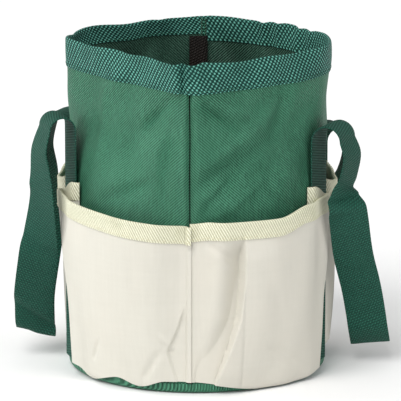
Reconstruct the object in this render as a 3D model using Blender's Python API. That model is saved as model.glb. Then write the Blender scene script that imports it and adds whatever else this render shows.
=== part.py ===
"""A soft cylindrical garden tool bag: fabric walls, bound rim, pockets all round, two webbing handles.

Metres, +Z up. The origin is the middle of the underside of the base. The front seam faces -Y.
Angles round the bag are in degrees from the front seam, positive towards +X.
"""

import math

import bpy

# Bag body
WALL_RADIUS = 0.098
BAG_HEIGHT = 0.250
WALL_THICK = 0.0015
GAP = 0.00035
ANGLE_STEP = 6.0

# Base
BASE_THICK = 0.0015
BASE_TURN_UP = 0.0065
BOARD_THICK = 0.0020
BOARD_RADIUS = 0.0955
BASE_TAPE_TOP = 0.0125
TAPE_THICK = 0.0010

# Rim webbing, folded over the top edge of the wall
RIM_DROP = 0.0208
RIM_THICK = 0.0014

# Vertical seams
PANEL_EDGE_ANGLE = 0.6
SEAM_TAPE_ANGLE = 4.5
SEAM_TAPE_CLEARANCE = 0.0009

# The soft mouth has flat stretches between its corners: middle angle, distance from the axis
MOUTH_FLATS = ((-47.0, 0.0720), (41.0, 0.0838), (142.0, 0.0925), (-145.0, 0.0868))
MOUTH_CORNER_POWER = 24.0
MOUTH_FLARE = 0.0025
MOUTH_FOOT = 0.135

# Straps
STRAP_WIDTH = 0.030
STRAP_THICK = 0.0016
LEG_ANGLE = 70.0
LEG_RADIUS = WALL_RADIUS + 0.0013
LEG_FOOT = 0.0090

# Pockets
POCKET_THICK = 0.0011
POCKET_FOOT = 0.0085
POCKET_INNER_ANGLE = 1.0
POCKET_OUTER_ANGLE = 76.5
CORNER_ANGLE = 2.5
POCKET_TOP_AT_SEAM = 0.1275
POCKET_RISE = 0.0065
SIDE_POCKET_HALF_ANGLE = 9.2
SIDE_POCKET_TOP = 0.1480
MOUTH_AT_SEAM = 0.0018
MOUTH_SLACK = 0.0103
MOUTH_AT_STRAP = 0.0052
SIDE_MOUTH_SLACK = 0.0052
BINDING_THICK = 0.0009
BINDING_DROP = 0.0105
STRAP_COVER = math.hypot(LEG_RADIUS + STRAP_THICK / 2, STRAP_WIDTH / 2) - WALL_RADIUS

# Where each handle's strap folds outward, at its front and rear leg:
# height of the fold's centre, radius of the fold
LEFT_FOLDS = ((0.1885, 0.0100), (0.1740, 0.0124))
RIGHT_FOLDS = ((0.1825, 0.0115), (0.1680, 0.0101))
FOLD_STEPS = 8

# The front strand of each hanging handle, from the fold down to the bottom bend:
# outward distance, distance in front of the side line, height, angle the strap faces
LEFT_STRAND = (
    (0.1121, 0.0408, 0.1860, 70.0),
    (0.1165, 0.0425, 0.1715, 64.0),
    (0.1150, 0.0430, 0.1525, 54.0),
    (0.1146, 0.0425, 0.1307, 48.0),
    (0.1165, 0.0370, 0.1047, 30.0),
    (0.1187, 0.0315, 0.0880, 8.0),
    (0.1237, 0.0190, 0.0543, 3.0),
    (0.1243, 0.0110, 0.0330, 3.0),
)
RIGHT_STRAND = (
    (0.1149, 0.0418, 0.1800, 70.0),
    (0.1184, 0.0420, 0.1700, 66.0),
    (0.1157, 0.0420, 0.1540, 64.0),
    (0.1124, 0.0425, 0.1445, 58.0),
    (0.1138, 0.0430, 0.1350, 34.0),
    (0.1160, 0.0420, 0.1240, 17.0),
    (0.1196, 0.0330, 0.0936, 7.0),
    (0.1261, 0.0220, 0.0630, 4.0),
    (0.1304, 0.0130, 0.0360, 3.0),
)
# The rear strand is the front one mirrored, then lower and further out, both for
# each metre that it lies behind the side line
REAR_DROP = 0.36
LEFT_REAR_SHIFT = 0.11
RIGHT_REAR_SHIFT = -0.06
# The bottom bend: outward distance, height, tilt of the strap's width in degrees
LEFT_BEND = (0.1243, 0.0195, 26.0)
RIGHT_BEND = (0.1328, 0.0165, 6.0)

GREEN_CLOTH = (0.045, 0.170, 0.090, 1.0)
GREEN_WEBBING = (0.020, 0.120, 0.070, 1.0)
CREAM_CLOTH = (0.800, 0.740, 0.660, 1.0)
CREAM_BINDING = (0.850, 0.830, 0.640, 1.0)
DARK_TAPE = (0.015, 0.015, 0.012, 1.0)
GREY_BOARD = (0.120, 0.120, 0.120, 1.0)


def remove_all_objects():
    for thing in list(bpy.data.objects):
        bpy.data.objects.remove(thing)


def make_material(name, colour, roughness):
    material = bpy.data.materials.new(name)
    material.use_nodes = True
    shader = material.node_tree.nodes["Principled BSDF"]
    shader.inputs["Base Color"].default_value = colour
    shader.inputs["Roughness"].default_value = roughness
    shader.inputs["Metallic"].default_value = 0.0
    return material


def smoothstep(value, low, high):
    share = min(1.0, max(0.0, (value - low) / (high - low)))
    return share * share * (3.0 - 2.0 * share)


def polar(angle, radius, height):
    """The point at this angle from the front seam, distance from the axis and height."""
    turn = math.radians(angle)
    return (radius * math.sin(turn), -radius * math.cos(turn), height)


def wall_radius(angle, height):
    """The outer face of the wall: round at the base, with flat stretches at the mouth."""
    power = MOUTH_CORNER_POWER
    total = WALL_RADIUS ** -power
    for middle, distance in MOUTH_FLATS:
        facing = math.cos(math.radians(angle - middle))
        total += (max(facing, 0.0) / distance) ** power
    mouth = total ** (-1.0 / power)
    share = smoothstep(height, MOUTH_FOOT, BAG_HEIGHT)
    return WALL_RADIUS + (mouth - WALL_RADIUS) * share + MOUTH_FLARE * share ** 3


def angles_between(start, end):
    """The ends and every whole step between them, so that neighbouring sheets bend at the same angles."""
    first = math.ceil((start + 0.3) / ANGLE_STEP)
    last = math.floor((end - 0.3) / ANGLE_STEP)
    return [start] + [k * ANGLE_STEP for k in range(first, last + 1)] + [end]


def levels_between(low, high, count):
    return [low + (high - low) * k / count for k in range(count + 1)]


def loft(name, sections, material, closed=False):
    """One solid through equal closed outlines, with its ends capped unless it closes on itself."""
    count = len(sections[0])
    points = [point for section in sections for point in section]
    joins = len(sections) if closed else len(sections) - 1
    faces = []
    for i in range(joins):
        here = i * count
        there = (i + 1) % len(sections) * count
        for k in range(count):
            after = (k + 1) % count
            faces.append((here + k, here + after, there + after, there + k))
    if not closed:
        faces.append(tuple(range(count - 1, -1, -1)))
        faces.append(tuple(range(joins * count, joins * count + count)))
    mesh = bpy.data.meshes.new(name)
    mesh.from_pydata(points, [], faces)
    mesh.update()
    face_outward(mesh)
    mesh.shade_smooth()
    mesh.set_sharp_from_angle(angle=math.radians(35.0))
    mesh.materials.append(material)
    solid = bpy.data.objects.new(name, mesh)
    bpy.context.scene.collection.objects.link(solid)
    return solid


def face_outward(mesh):
    """Flip every face if the mesh's signed volume is negative."""
    mesh.calc_loop_triangles()
    volume = 0.0
    for triangle in mesh.loop_triangles:
        a, b, c = (mesh.vertices[i].co for i in triangle.vertices)
        volume += a.dot(b.cross(c))
    if volume < 0.0:
        mesh.flip_normals()
        mesh.update()


def sheet_section(angle, levels, inner, outer):
    """A sheet's outline in one vertical plane: up its outer face and down its inner face."""
    up = [polar(angle, outer(angle, z), z) for z in levels]
    down = [polar(angle, inner(angle, z), z) for z in reversed(levels)]
    return up + down


def folded_section(angle, top, drop, inner, outer, thick):
    """The outline of webbing folded over a sheet's top edge, clear of the sheet by the gap."""
    low = top - drop
    crown = top + GAP + thick
    return [
        polar(angle, outer(angle, low) + GAP, low),
        polar(angle, outer(angle, low) + GAP + thick, low),
        polar(angle, outer(angle, top) + GAP + thick, top),
        polar(angle, outer(angle, top), crown),
        polar(angle, inner(angle, top), crown),
        polar(angle, inner(angle, top) - GAP - thick, top),
        polar(angle, inner(angle, low) - GAP - thick, low),
        polar(angle, inner(angle, low) - GAP, low),
        polar(angle, inner(angle, top) - GAP, top + GAP),
        polar(angle, outer(angle, top) + GAP, top + GAP),
    ]


def wall_inner_radius(angle, height):
    return wall_radius(angle, height) - WALL_THICK


def add_shell_panels(material):
    """Two half-round walls that meet at the front and back seams."""
    low = BASE_TURN_UP + GAP
    high = BAG_HEIGHT - RIM_THICK - GAP
    levels = levels_between(low, MOUTH_FOOT, 2) + levels_between(MOUTH_FOOT, high, 6)[1:]
    for name, start in (("shell_left_panel", -180.0), ("shell_right_panel", 0.0)):
        angles = angles_between(start + PANEL_EDGE_ANGLE, start + 180.0 - PANEL_EDGE_ANGLE)
        sections = [sheet_section(a, levels, wall_inner_radius, wall_radius) for a in angles]
        loft(name, sections, material)


def add_seam_tapes(material):
    """The tapes that cover the seam allowances inside the wall."""
    low = BASE_TAPE_TOP + GAP
    high = BAG_HEIGHT - RIM_THICK - RIM_DROP - 0.002
    levels = levels_between(low, MOUTH_FOOT, 2) + levels_between(MOUTH_FOOT, high, 5)[1:]

    def outer(angle, height):
        return wall_inner_radius(angle, height) - SEAM_TAPE_CLEARANCE

    def inner(angle, height):
        return outer(angle, height) - TAPE_THICK

    for name, middle in (("front_seam_tape", 0.0), ("back_seam_tape", 180.0)):
        angles = (middle - SEAM_TAPE_ANGLE, middle, middle + SEAM_TAPE_ANGLE)
        loft(name, [sheet_section(a, levels, inner, outer) for a in angles], material)


def add_rim_webbing(material):
    """Webbing folded over the top edge, all the way round the mouth."""
    top = BAG_HEIGHT - RIM_THICK - GAP
    sections = []
    for k in range(round(360.0 / ANGLE_STEP)):
        angle = k * ANGLE_STEP
        sections.append(
            folded_section(angle, top, RIM_DROP, wall_inner_radius, wall_radius, RIM_THICK)
        )
    loft("rim_webbing", sections, material, closed=True)


def ring_of(radius, height):
    count = round(360.0 / ANGLE_STEP)
    return [polar(k * ANGLE_STEP, radius, height) for k in range(count)]


def add_base(fabric, board, tape):
    """The base fabric with its turned-up edge, the stiffening board and the tape over its seam."""
    inner = WALL_RADIUS - WALL_THICK
    outlines = (
        ring_of(WALL_RADIUS, 0.0),
        ring_of(WALL_RADIUS, BASE_TURN_UP),
        ring_of(inner, BASE_TURN_UP),
        ring_of(inner, BASE_THICK),
    )
    loft("base_fabric", outlines, fabric)
    low = BASE_THICK + GAP
    loft("base_board", (ring_of(BOARD_RADIUS, low), ring_of(BOARD_RADIUS, low + BOARD_THICK)), board)
    low += BOARD_THICK + GAP
    outlines = (
        ring_of(inner - GAP, low),
        ring_of(inner - GAP, BASE_TAPE_TOP),
        ring_of(inner - GAP - TAPE_THICK, BASE_TAPE_TOP),
        ring_of(inner - GAP - TAPE_THICK, low),
    )
    loft("base_seam_tape", outlines, tape, closed=True)


def front_pocket_top(angle):
    return POCKET_TOP_AT_SEAM + POCKET_RISE * (angle / POCKET_OUTER_ANGLE) ** 2


def front_pocket_slack(angle, height):
    """How far a large pocket stands off the wall; its outer edge passes over the strap."""
    near_strap = smoothstep(angle, 49.0, 59.0)
    over_strap = STRAP_COVER * near_strap
    mouth = MOUTH_AT_SEAM + (MOUTH_SLACK - MOUTH_AT_SEAM) * smoothstep(angle, 1.0, 16.0)
    mouth -= (MOUTH_SLACK - MOUTH_AT_STRAP) * near_strap
    return over_strap + mouth * height / POCKET_TOP_AT_SEAM


def side_pocket_slack(angle, height):
    """How far a side pocket stands off the wall, most at its middle."""
    across = (angle - 90.0) / SIDE_POCKET_HALF_ANGLE
    mouth = MOUTH_AT_SEAM + SIDE_MOUTH_SLACK * max(0.0, 1.0 - across * across)
    return mouth * height / SIDE_POCKET_TOP


def add_pocket(name, cloth, binding, angles, bound_angles, top_of, slack, place):
    """One pocket and its bound mouth. place turns an angle on the front right into the pocket's own."""

    def inner(angle, height):
        return WALL_RADIUS + GAP + slack(angle, height)

    def outer(angle, height):
        return inner(angle, height) + POCKET_THICK

    def closed_inner(angle, height):
        if angle == POCKET_OUTER_ANGLE:
            return WALL_RADIUS + GAP + STRAP_COVER
        return inner(angle, height)

    sections = []
    for angle in angles:
        levels = levels_between(POCKET_FOOT, top_of(angle) - BINDING_DROP, 5) + [top_of(angle)]
        outline = sheet_section(angle, levels, closed_inner, outer)
        sections.append([turned(point, angle, place(angle)) for point in outline])
    loft(name, sections, cloth)

    sections = []
    for angle in bound_angles:
        outline = folded_section(angle, top_of(angle), BINDING_DROP, inner, outer, BINDING_THICK)
        sections.append([turned(point, angle, place(angle)) for point in outline])
    loft(name + "_binding", sections, binding)


def turned(point, angle, new_angle):
    """The same distance from the axis and height, at another angle."""
    radius = math.hypot(point[0], point[1])
    return polar(new_angle, radius, point[2])


def add_pockets(cloth, binding):
    """Two large pockets at the front, two at the rear and a narrow one at each side."""
    bound = angles_between(POCKET_INNER_ANGLE, POCKET_OUTER_ANGLE - CORNER_ANGLE - 0.5)
    large = bound[:-1] + [POCKET_OUTER_ANGLE - CORNER_ANGLE, POCKET_OUTER_ANGLE]
    half = SIDE_POCKET_HALF_ANGLE
    narrow = [90.0 + half * k / 4 for k in range(-4, 5)]
    for side, sign in (("left", -1.0), ("right", 1.0)):
        add_pocket(
            f"front_{side}_pocket", cloth, binding, large, bound, front_pocket_top,
            front_pocket_slack, lambda a, s=sign: s * a,
        )
        add_pocket(
            f"rear_{side}_pocket", cloth, binding, large, bound, front_pocket_top,
            front_pocket_slack, lambda a, s=sign: s * (180.0 - a),
        )
        add_pocket(
            f"side_{side}_pocket", cloth, binding, narrow, narrow, lambda a: SIDE_POCKET_TOP,
            side_pocket_slack, lambda a, s=sign: s * a,
        )


def strap_section(middle, across, normal):
    """The four corners of a strap at one point of its middle line."""
    half_width = STRAP_WIDTH / 2.0
    half_thick = STRAP_THICK / 2.0
    corners = []
    for w, n in ((-1, -1), (1, -1), (1, 1), (-1, 1)):
        corners.append(
            tuple(
                m + w * half_width * a + n * half_thick * b
                for m, a, b in zip(middle, across, normal)
            )
        )
    return corners


def add_strap_leg(name, angle, leg_top, material):
    """The part of a strap that lies flat up the wall."""
    turn = math.radians(angle)
    across = (math.cos(turn), math.sin(turn), 0.0)
    normal = (math.sin(turn), -math.cos(turn), 0.0)
    sections = []
    for height in (LEG_FOOT, leg_top - GAP):
        sections.append(strap_section(polar(angle, LEG_RADIUS, height), across, normal))
    loft(name, sections, material)


def add_strap_fold(name, angle, centre_height, fold_radius, material):
    """The half turn where a strap falls outward from the wall."""
    turn = math.radians(angle)
    across = (math.cos(turn), math.sin(turn), 0.0)
    sections = []
    for step in range(FOLD_STEPS + 1):
        bend = math.pi * (1.0 - step / FOLD_STEPS)
        reach = math.cos(bend)
        lift = math.sin(bend)
        radius = LEG_RADIUS + fold_radius * (1.0 + reach)
        middle = polar(angle, radius, centre_height + fold_radius * lift)
        normal = (reach * math.sin(turn), -reach * math.cos(turn), lift)
        sections.append(strap_section(middle, across, normal))
    loft(name, sections, material)


def spline(points, steps):
    """Points on a smooth curve through the given ones, of any number of coordinates."""
    found = []
    last = len(points) - 1
    for i in range(last):
        p0, p1, p2, p3 = points[max(i - 1, 0)], points[i], points[i + 1], points[min(i + 2, last)]
        for k in range(steps):
            t = k / steps
            found.append(
                tuple(
                    0.5 * (2 * b + (c - a) * t + (2 * a - 5 * b + 4 * c - d) * t * t
                           + (3 * b - a - 3 * c + d) * t ** 3)
                    for a, b, c, d in zip(p0, p1, p2, p3)
                )
            )
    found.append(tuple(points[last]))
    return found


def normalised(vector):
    length = math.sqrt(sum(v * v for v in vector))
    return tuple(v / length for v in vector)


def cross(a, b):
    return (
        a[1] * b[2] - a[2] * b[1],
        a[2] * b[0] - a[0] * b[2],
        a[0] * b[1] - a[1] * b[0],
    )


def handle_stations(strand, bend, rear_shift, side):
    """Down the front strand, round the bottom bend and up the rear strand: x, y, z, width direction."""
    front = []
    rear = []
    for outward, forward, height, facing in strand:
        turn = math.radians(facing)
        a = side * math.cos(turn)
        b = math.sin(turn)
        front.append((side * outward, -forward, height, a, b, 0.0))
        outward += rear_shift * forward
        height -= REAR_DROP * forward
        rear.append((side * outward, forward, height, a, -b, 0.0))
    outward, height, tilt = bend
    tilt = math.radians(tilt)
    bottom = (side * outward, 0.0, height, side * math.cos(tilt), 0.0, math.sin(tilt))
    return front + [bottom] + rear[::-1]


def add_hanging_handle(name, stations, material):
    """The free part of a handle strap, one long loop that hangs outside the bag."""
    path = spline(stations, 4)
    sections = []
    for i, station in enumerate(path):
        before = path[max(i - 1, 0)]
        after = path[min(i + 1, len(path) - 1)]
        along = normalised(tuple(q - p for p, q in zip(before[:3], after[:3])))
        across = station[3:]
        lean = sum(a * b for a, b in zip(across, along))
        across = normalised(tuple(a - lean * b for a, b in zip(across, along)))
        sections.append(strap_section(station[:3], across, cross(along, across)))
    loft(name, sections, material)


def add_straps(material):
    handles = (
        ("left", -1.0, LEFT_FOLDS, handle_stations(LEFT_STRAND, LEFT_BEND, LEFT_REAR_SHIFT, -1.0)),
        ("right", 1.0, RIGHT_FOLDS, handle_stations(RIGHT_STRAND, RIGHT_BEND, RIGHT_REAR_SHIFT, 1.0)),
    )
    for side_name, side, folds, stations in handles:
        ends = (("front", LEG_ANGLE, folds[0]), ("rear", 180.0 - LEG_ANGLE, folds[1]))
        for end_name, angle, (leg_top, fold_radius) in ends:
            name = f"{side_name}_{end_name}_strap"
            add_strap_leg(name + "_leg", side * angle, leg_top, material)
            add_strap_fold(name + "_fold", side * angle, leg_top, fold_radius, material)
        add_hanging_handle(side_name + "_handle", stations, material)


def main():
    remove_all_objects()
    green = make_material("green_cloth", GREEN_CLOTH, 0.65)
    webbing = make_material("green_webbing", GREEN_WEBBING, 0.60)
    cream = make_material("cream_cloth", CREAM_CLOTH, 0.70)
    cream_binding = make_material("cream_binding", CREAM_BINDING, 0.70)
    tape = make_material("dark_tape", DARK_TAPE, 0.80)
    board = make_material("grey_board", GREY_BOARD, 0.60)
    add_shell_panels(green)
    add_seam_tapes(tape)
    add_rim_webbing(webbing)
    add_base(green, board, tape)
    add_pockets(cream, cream_binding)
    add_straps(webbing)


main()
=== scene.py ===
"""The looks of a soft garden tool bag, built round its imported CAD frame.

Metres, +Z up. Angles round the bag are in degrees from the front seam, positive towards +X.
Every cloth is a grid of points, given a thickness and a woven material in its own metres.
"""

import math

import bpy
import numpy as np
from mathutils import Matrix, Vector


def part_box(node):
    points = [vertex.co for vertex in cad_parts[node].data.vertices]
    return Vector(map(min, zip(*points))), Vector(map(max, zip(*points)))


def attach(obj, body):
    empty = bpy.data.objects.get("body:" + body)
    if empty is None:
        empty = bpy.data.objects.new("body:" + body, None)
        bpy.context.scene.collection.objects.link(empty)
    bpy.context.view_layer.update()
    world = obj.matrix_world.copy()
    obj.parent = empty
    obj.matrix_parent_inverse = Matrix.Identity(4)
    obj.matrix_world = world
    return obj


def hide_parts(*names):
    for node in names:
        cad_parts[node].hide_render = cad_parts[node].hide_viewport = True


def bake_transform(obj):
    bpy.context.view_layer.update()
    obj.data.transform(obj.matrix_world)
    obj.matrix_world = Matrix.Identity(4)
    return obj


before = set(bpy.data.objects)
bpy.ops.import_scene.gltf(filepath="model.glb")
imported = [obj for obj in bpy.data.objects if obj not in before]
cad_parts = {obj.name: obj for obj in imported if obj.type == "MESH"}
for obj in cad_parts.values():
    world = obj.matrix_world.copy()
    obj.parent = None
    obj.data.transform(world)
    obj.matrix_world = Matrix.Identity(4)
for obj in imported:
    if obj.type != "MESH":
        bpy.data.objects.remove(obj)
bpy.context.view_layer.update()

# Driving sizes, from the frame, in metres
WALL_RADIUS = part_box("base_fabric")[1].x
BAG_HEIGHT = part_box("rim_webbing")[1].z
LEG_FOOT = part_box("left_front_strap_leg")[0].z

# Shape of the wall, as in the CAD source
# the angle each flat stretch of the mouth faces, its distance from the axis
MOUTH_FLATS = ((-47, 0.072), (41, 0.0838), (142, 0.0925), (-145, 0.0868))
MOUTH_CORNER_POWER = 24.0
MOUTH_FLARE = 0.0025
MOUTH_FOOT = 0.135
WALL_THICK = 0.001
BASE_EDGE = 0.006
BASE_BEND = 0.0045
BASE_ROUNDING = 0.0035

# Rim webbing
RIM_THICK = 0.0009
RIM_DROP = 0.0222
RIM_INNER_DROP = 0.02
RIM_CROWN = 0.0022

# Tapes over the seams
TAPE_THICK = 0.0008
TAPE_GAP = 0.0006

# Pockets
POCKET_THICK = 0.0008
POCKET_SEAM_ANGLE = 0.12
POCKET_LAP_ANGLE = -0.75
POCKET_ATTACH_ANGLE = 59.6
POCKET_FRONT_END = 76.5
HEM_HEIGHT = 0.0095
LOWEST_HEM = 0.0012
# middle angle, half width, depth
HEM_DIPS = ((-43, 18, 0.0073), (-18.6, 10, 0.0055), (32, 34, 0.009), (58, 22, 0.005))
MOUTH_SLACK = 0.0103
BINDING_THICK = 0.0007
BINDING_DROP = 0.0122
BINDING_GAP = 0.0002
SIDE_POCKET_HALF_ANGLE = 9.2
SIDE_POCKET_FOOT = 0.018
SIDE_BINDING_SHARE = 0.85

# Straps
STRAP_WIDTH = 0.03
STRAP_THICK = 0.0013
LEG_ANGLE = 70
LEG_RADIUS = WALL_RADIUS + 0.0013
STRAP_FACE = math.hypot(LEG_RADIUS + 0.0008, STRAP_WIDTH / 2) + 0.0008
# height and radius of the fold in front, then of the one behind
LEFT_FOLDS = ((0.1885, 0.01), (0.174, 0.0124))
RIGHT_FOLDS = ((0.1825, 0.0115), (0.168, 0.0101))
REAR_DROP = 0.36
LEFT_REAR_SHIFT = 0.11
RIGHT_REAR_SHIFT = -0.06
# outward, forward, height, and the way the width points, down the front strand
LEFT_STRAND = (
    (0.1121, 0.0408, 0.186, 70),
    (0.1165, 0.0425, 0.1715, 64),
    (0.115, 0.043, 0.1525, 54),
    (0.1146, 0.0425, 0.1307, 48),
    (0.1165, 0.037, 0.1047, 30),
    (0.1187, 0.0315, 0.088, 8),
    (0.1237, 0.019, 0.0543, 3),
    (0.1243, 0.011, 0.033, 3),
)
RIGHT_STRAND = (
    (0.1149, 0.0418, 0.18, 70),
    (0.1184, 0.042, 0.17, 66),
    (0.1157, 0.042, 0.154, 64),
    (0.1124, 0.0425, 0.1445, 58),
    (0.1138, 0.043, 0.135, 34),
    (0.116, 0.042, 0.124, 17),
    (0.1196, 0.033, 0.0936, 7),
    (0.1261, 0.022, 0.063, 4),
    (0.1304, 0.013, 0.036, 3),
)
# height, lean along the strap for each unit across, depth, run
STRAP_TURNS = {
    "left": ((0.042, -0.8, 0.005, 0.009),),
    "right": ((0.042, 0.15, 0.003, 0.01),),
}
STRAP_TUCKS = {
    "left": ((0.15, 0.3, -0.001, 0.004), (0.095, -0.25, 0.0008, 0.005)),
    "right": (
        (0.137, 0.1, -0.0022, 0.0022),
        (0.13, 0.1, 0.0012, 0.003),
        (0.08, 0.35, -0.0008, 0.006),
    ),
}
# outward, height and tilt of the loop's lowest place
LEFT_BEND = (0.1243, 0.0195, 26)
RIGHT_BEND = (0.1328, 0.0165, 6)
# piece, the node it stands for, how it is held, what it hangs from; {} is the side
STRAP_PIECES = (
    ("front_leg", "{}_front_strap_leg", "hung", "shell_{}_panel_cloth"),
    ("front_fold", "{}_front_strap_fold", "folded", "{}_front_leg_webbing"),
    ("loop", "{}_handle", "hung", "{}_front_fold_webbing"),
    ("rear_fold", "{}_rear_strap_fold", "folded", "{}_rear_leg_webbing"),
    ("rear_leg", "{}_rear_strap_leg", "hung", "shell_{}_panel_cloth"),
)
LEG_STEPS = 64
FOLD_STEPS = 17
SPAN_STEPS = 8
FOLD_END = LEG_STEPS + FOLD_STEPS - 1
LOOSE_END = FOLD_END + 3 * SPAN_STEPS


# --- Shapes


join = np.concatenate


def ramp(value, low, high):
    """A soft rise from 0 at low to 1 at high."""
    share = np.clip((value - low) / (high - low), 0, 1)
    return share * share * (3 - 2 * share)


def bump(value, middle, width):
    """A soft hump one unit high."""
    return np.exp(-(((value - middle) / width) ** 2))


def polar(angle, radius, height):
    """Points from angles round the bag, distances from its axis and heights."""
    turn = np.radians(angle)
    places = np.broadcast_arrays(radius * np.sin(turn), -radius * np.cos(turn), height)
    return np.stack(places, axis=-1)


def wrapped(angle):
    return (angle + 180) % 360 - 180


def unit(vectors):
    return vectors / np.linalg.norm(vectors, axis=-1, keepdims=True)


def distance_along(line):
    """How far along a line each of its points lies."""
    steps = np.linalg.norm(np.diff(line, axis=0), axis=1)
    return join([[0], np.cumsum(steps)])


def interp3(at, known, places):
    return np.stack([np.interp(at, known, places[:, k]) for k in range(3)], axis=-1)


def mouth_radius(angle, height):
    """The wall's plain outline: round at the base, flat stretches at the mouth."""
    power = MOUTH_CORNER_POWER
    total = WALL_RADIUS**-power
    for middle, distance in MOUTH_FLATS:
        facing = np.cos(np.radians(angle - middle))
        total = total + (np.maximum(facing, 0) / distance) ** power
    mouth = total ** (-1 / power)
    share = ramp(height, MOUTH_FOOT, BAG_HEIGHT)
    return WALL_RADIUS + (mouth - WALL_RADIUS) * share + MOUTH_FLARE * share**3


def crease(angle, height, start, end, width, depth):
    """A straight soft crease between two places given as (angle, height)."""
    scale = math.radians(1) * WALL_RADIUS
    run = np.array([(end[0] - start[0]) * scale, end[1] - start[1]])
    length = np.hypot(*run)
    run = run / length
    x = (angle - start[0]) * scale
    z = height - start[1]
    along = (x * run[0] + z * run[1]) / length
    aside = x * run[1] - z * run[0]
    fade = ramp(along, -0.15, 0.25) * (1 - ramp(along, 0.75, 1.15))
    return depth * bump(aside, 0, width) * fade


def creased(table, angle, height, gain=1):
    """All the creases of a table, added up."""
    total = 0
    for start, end, width, depth in table:
        middle = (start[0] + end[0]) / 2
        near = wrapped(angle - middle) + middle
        total = total + crease(near, height, start, end, width, gain * depth)
    return total


def foot_rounding(height):
    """How far the lowest edge of the wall and pockets is drawn in."""
    return BASE_ROUNDING * np.clip(1 - height / BASE_EDGE, 0, 1) ** 2


CREASE_GAIN = 2.3
# start, end, half width, depth; places are (angle, height)
WALL_CREASES = (
    ((3, 0.224), (21, 0.196), 0.003, -0.0019),
    ((5, 0.221), (30, 0.206), 0.0035, 0.0012),
    ((4, 0.171), (46, 0.214), 0.006, 0.0018),
    ((4, 0.158), (44, 0.192), 0.0055, -0.0016),
    ((3, 0.131), (22, 0.168), 0.0045, -0.002),
    ((6, 0.126), (34, 0.16), 0.005, 0.0014),
    ((-5, 0.226), (-24, 0.196), 0.0045, -0.0014),
    ((-9, 0.2), (-13, 0.145), 0.005, -0.0012),
    ((-16, 0.16), (-44, 0.14), 0.005, -0.0014),
    ((-40, 0.226), (-26, 0.15), 0.008, -0.0014),
    ((-58, 0.224), (-46, 0.16), 0.007, 0.0012),
    ((-12, 0.208), (-36, 0.172), 0.009, -0.0012),
    ((-8, 0.168), (-42, 0.15), 0.01, 0.0011),
    ((52, 0.226), (40, 0.18), 0.006, -0.0012),
    ((150, 0.222), (138, 0.17), 0.005, -0.0018),
    ((-155, 0.224), (-144, 0.16), 0.006, -0.0016),
    ((165, 0.215), (171, 0.15), 0.005, 0.0014),
    ((-120, 0.225), (-132, 0.18), 0.005, -0.0014),
    ((118, 0.226), (128, 0.19), 0.0045, -0.0014),
)
# middle angle, depth, half width in degrees
RIM_PINCHES = (
    (-3, 0.0046, 1.4),
    (150, 0.0016, 2),
    (141, 0.0013, 1.8),
    (128, 0.0016, 1.8),
    (119, 0.0012, 2),
    (-158, 0.0009, 2.6),
    (-104, 0.001, 3),
)


def wall_radius(angle, height):
    """The outer face of the wall, with its creases and the ridges beside its seams."""
    near = wrapped(angle)
    behind = wrapped(angle - 180)
    side = np.abs(np.abs(near) - 90)
    free = ramp(height, 0.125, 0.16)
    ripple = 0.0013 * np.sin(np.radians(near * 7) + 90 * height)
    ripple = ripple + 0.0008 * np.sin(np.radians(near * 13 + 40) - 140 * height)
    under_strap = bump(side, 20, 9) * (1 - ramp(height, 0.185, 0.2))
    relief = creased(WALL_CREASES, angle, height, CREASE_GAIN) + ripple
    relief = relief * free * (1 - under_strap)
    relief = relief * (1 - 0.6 * bump(side, 0, 28))
    ridge = bump(near, -2.6, 1.2) + bump(near, 3.2, 1.6)
    ridge = ridge + bump(behind, -2.9, 1.3) + bump(behind, 2.9, 1.3)
    ridge = 0.001 * ridge * ramp(height, 0.108, 0.126)
    ridge = ridge + 0.0015 * free * (0.9 * bump(near, -2.6, 1.4) + bump(near, 4.6, 2.4))
    pinch = 0
    for middle, depth, width in RIM_PINCHES:
        pinch = pinch - depth * bump(wrapped(angle - middle), 0, width)
    pinch = pinch * ramp(height, 0.2, 0.238)
    return mouth_radius(angle, height) + relief + ridge + pinch - foot_rounding(height)


def grid_normals(points, wrap=False):
    if wrap:
        along = np.roll(points, -1, axis=0) - np.roll(points, 1, axis=0)
    else:
        along = np.gradient(points, axis=0)
    normals = np.cross(along, np.gradient(points, axis=1))
    return normals / np.maximum(np.linalg.norm(normals, axis=-1, keepdims=True), 1e-12)


def lengths_along(points, axis):
    """Mean distance of each column or row of a grid from the first."""
    steps = np.linalg.norm(np.diff(points, axis=axis), axis=-1).mean(axis=1 - axis)
    return join([[0], np.cumsum(steps)])


def quads(first, rows):
    """Quads between neighbouring columns of a grid whose columns start at the given indices."""
    here, there = first[:-1, None], first[1:, None]
    row = np.arange(rows - 1)
    corners = [here + row, there + row, there + row + 1, here + row + 1]
    return np.stack(corners, axis=-1).reshape(-1, 4)


def new_object(name, data):
    """A mesh, light or camera, put in the scene."""
    thing = bpy.data.objects.new(name, data)
    bpy.context.scene.collection.objects.link(thing)
    return thing


def new_mesh_object(name, vertices, polygons, materials):
    mesh = bpy.data.meshes.new(name)
    mesh.from_pydata(vertices, [], polygons)
    for material in materials:
        mesh.materials.append(material)
    mesh.shade_smooth()
    return new_object(name, mesh)


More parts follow.
